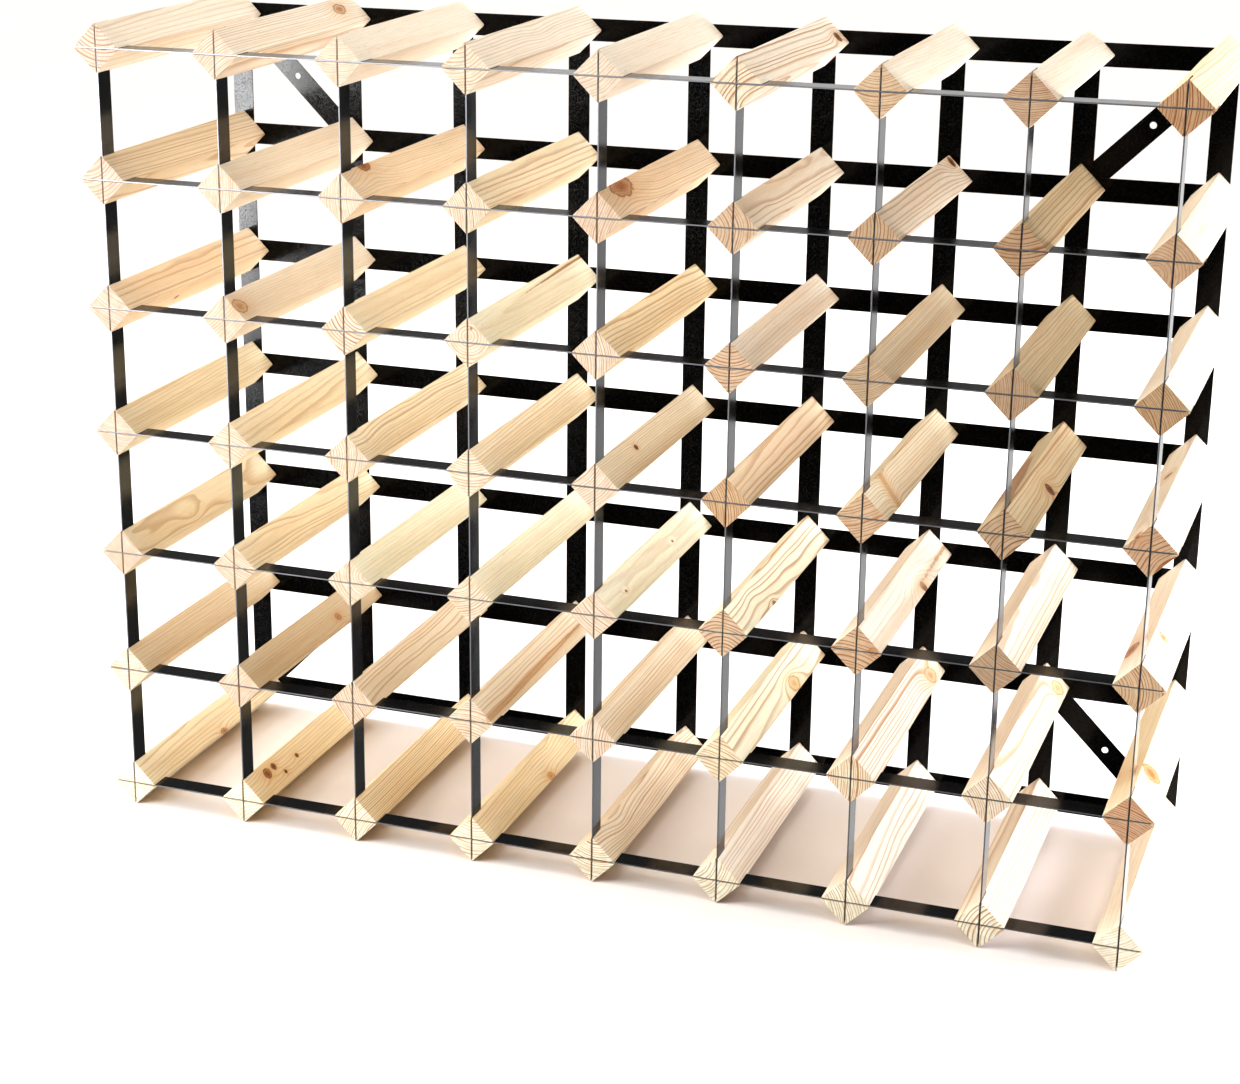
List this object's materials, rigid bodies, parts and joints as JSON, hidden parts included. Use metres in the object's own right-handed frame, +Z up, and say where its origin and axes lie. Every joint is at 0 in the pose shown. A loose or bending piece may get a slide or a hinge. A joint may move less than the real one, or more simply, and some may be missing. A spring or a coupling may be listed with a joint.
{
  "type": "wine rack",
  "caption": "Free-standing wine rack: square pine bars set corner up in a grid, held by thin black steel strips let into their front ends and nailed across their back ends.",
  "frame": {"origin": "on the floor, under the middle of the rack's overall box", "axes": "+X to the rack's right as seen from the front, +Y from the front to the back, +Z up"},
  "size_m": [0.804, 0.2298, 0.612],
  "materials": {
    "pine": "planed, unfinished softwood with visible growth rings and small knots",
    "black_steel": "semi-gloss black paint, worn bright along the cut edges",
    "nail_steel": "plain bright steel"
  },
  "bodies": {
    "root": {"bars_row_1": "pine", "bars_row_2": "pine", "bars_row_3": "pine", "bars_row_4": "pine", "bars_row_5": "pine", "bars_row_6": "pine", "bars_row_7": "pine", "front_vertical_strip_1": "black_steel", "front_vertical_strip_2": "black_steel", "front_vertical_strip_3": "black_steel", "front_vertical_strip_4": "black_steel", "front_vertical_strip_5": "black_steel", "front_vertical_strip_6": "black_steel", "front_vertical_strip_7": "black_steel", "front_vertical_strip_8": "black_steel", "front_vertical_strip_9": "black_steel", "front_horizontal_strip_1": "black_steel", "front_horizontal_strip_2": "black_steel", "front_horizontal_strip_3": "black_steel", "front_horizontal_strip_4": "black_steel", "front_horizontal_strip_5": "black_steel", "front_horizontal_strip_6": "black_steel", "front_horizontal_strip_7": "black_steel", "back_vertical_strip_1": "black_steel", "back_vertical_strip_2": "black_steel", "back_vertical_strip_3": "black_steel", "back_vertical_strip_4": "black_steel", "back_vertical_strip_5": "black_steel", "back_vertical_strip_6": "black_steel", "back_vertical_strip_7": "black_steel", "back_vertical_strip_8": "black_steel", "back_vertical_strip_9": "black_steel", "back_horizontal_strip_1": "black_steel", "back_horizontal_strip_2": "black_steel", "back_horizontal_strip_3": "black_steel", "back_horizontal_strip_4": "black_steel", "back_horizontal_strip_5": "black_steel", "back_horizontal_strip_6": "black_steel", "back_horizontal_strip_7": "black_steel", "brace_top_left": "black_steel", "brace_top_right": "black_steel", "brace_bottom_left": "black_steel", "brace_bottom_right": "black_steel", "back_nails": "nail_steel"}
  },
  "joints": []
}
